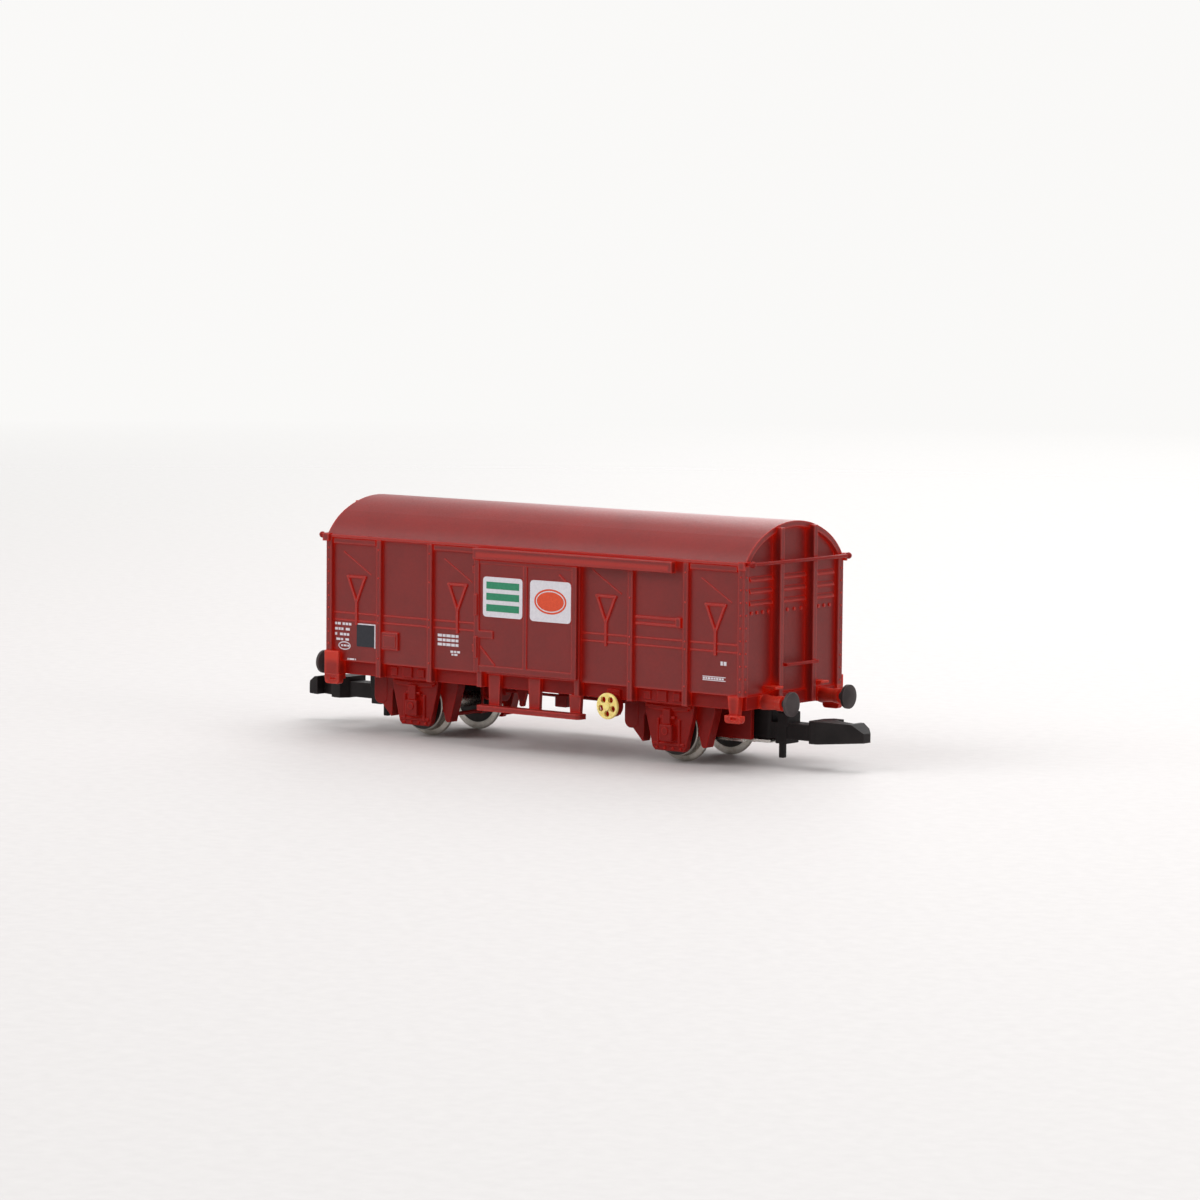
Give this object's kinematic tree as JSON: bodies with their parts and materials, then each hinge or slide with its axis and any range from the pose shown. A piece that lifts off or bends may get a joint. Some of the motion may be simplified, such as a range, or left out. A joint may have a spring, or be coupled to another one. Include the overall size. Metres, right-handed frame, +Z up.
{
  "type": "model railway covered goods wagon",
  "caption": "Z gauge two-axle covered goods wagon with an arched roof, braced sides, sliding doors, axle guards, buffers and swinging claw couplers.",
  "frame": {"origin": "centre of the wagon in plan, at the lowest point of the wheel flanges; the rail top is 0.5 mm above it", "axes": "+X along the wagon to its front end, +Y to its far side, +Z up"},
  "size_m": [0.0556, 0.0142, 0.0192],
  "materials": {
    "body_red": "satin moulded red-brown plastic, slightly translucent at its edges",
    "roof_red": "satin moulded red-brown plastic",
    "chassis_red": "satin moulded red plastic",
    "load_floor": "matt planked floor",
    "yellow_wheel": "satin yellow plastic",
    "black_plastic": "satin black plastic",
    "bush_black": "matt insulating plastic",
    "weight_steel": "rolled steel sheet",
    "spring_steel": "bright spring steel strip",
    "wheel_steel": "turned, nickel-plated steel"
  },
  "bodies": {
    "wagon": {"axle_guard_front_far": "chassis_red", "axle_guard_front_near": "chassis_red", "axle_guard_rear_far": "chassis_red", "axle_guard_rear_near": "chassis_red", "ballast_weight": "weight_steel", "body_shell": "body_red", "brake_beam_front": "chassis_red", "brake_beam_rear": "chassis_red", "brake_cylinder": "chassis_red", "brake_rods": "chassis_red", "brake_shoes_front": "chassis_red", "brake_shoes_rear": "chassis_red", "brake_v_hangers": "chassis_red", "brake_valve": "chassis_red", "buffer_head_front_far": "black_plastic", "buffer_head_front_near": "black_plastic", "buffer_head_rear_far": "black_plastic", "buffer_head_rear_near": "black_plastic", "buffer_housings": "chassis_red", "buffer_treads": "chassis_red", "chassis_frame": "chassis_red", "corner_steps": "chassis_red", "coupler_keeper_front": "spring_steel", "coupler_keeper_rear": "spring_steel", "coupler_spring_front": "spring_steel", "coupler_spring_rear": "spring_steel", "door_rail_far": "body_red", "door_rail_near": "body_red", "end_grab_front": "chassis_red", "end_grab_rear": "chassis_red", "end_handrail_front": "chassis_red", "end_handrail_rear": "chassis_red", "handwheel_bracket_far": "chassis_red", "handwheel_bracket_near": "chassis_red", "load_floor": "load_floor", "roof": "roof_red", "step_board_far": "chassis_red", "step_board_near": "chassis_red"},
    "door_near": {"door_near": "body_red"},
    "door_far": {"door_far": "body_red"},
    "handwheel_near": {"handwheel_near": "yellow_wheel"},
    "handwheel_far": {"handwheel_far": "yellow_wheel"},
    "coupler_front": {"coupler_front": "black_plastic"},
    "coupler_rear": {"coupler_rear": "black_plastic"},
    "wheelset_front": {"axle_front": "wheel_steel", "wheel_front_near": "wheel_steel", "wheel_front_far": "wheel_steel", "wheel_bush_front_near": "bush_black", "wheel_bush_front_far": "bush_black"},
    "wheelset_rear": {"axle_rear": "wheel_steel", "wheel_rear_near": "wheel_steel", "wheel_rear_far": "wheel_steel", "wheel_bush_rear_near": "bush_black", "wheel_bush_rear_far": "bush_black"}
  },
  "joints": [
    {"name": "door_near_slide", "type": "slide", "parent": "wagon", "child": "door_near", "axis": [1, 0, 0], "range_m": [0, 0.0094]},
    {"name": "door_far_slide", "type": "slide", "parent": "wagon", "child": "door_far", "axis": [-1, 0, 0], "range_m": [0, 0.0094]},
    {"name": "wheelset_front_spin", "type": "hinge", "parent": "wagon", "child": "wheelset_front", "pos_m": [0.01295, 0, 0.0026], "axis": [0, 1, 0], "continuous": true},
    {"name": "wheelset_rear_spin", "type": "hinge", "parent": "wagon", "child": "wheelset_rear", "pos_m": [-0.01295, 0, 0.0026], "axis": [0, 1, 0], "continuous": true},
    {"name": "coupler_front_yaw", "type": "hinge", "parent": "wagon", "child": "coupler_front", "pos_m": [0.0161, 0, 0.0028], "axis": [0, 0, 1], "range_deg": [-12, 12], "stiffness_Nm_per_rad": 0.0002},
    {"name": "coupler_rear_yaw", "type": "hinge", "parent": "wagon", "child": "coupler_rear", "pos_m": [-0.0161, 0, 0.0028], "axis": [0, 0, 1], "range_deg": [-12, 12], "stiffness_Nm_per_rad": 0.0002},
    {"name": "handwheel_near_turn", "type": "hinge", "parent": "wagon", "child": "handwheel_near", "pos_m": [0.0083, -0.00685, 0.0043], "axis": [0, 1, 0], "continuous": true},
    {"name": "handwheel_far_turn", "type": "hinge", "parent": "wagon", "child": "handwheel_far", "pos_m": [-0.0083, 0.00685, 0.0043], "axis": [0, -1, 0], "continuous": true}
  ]
}
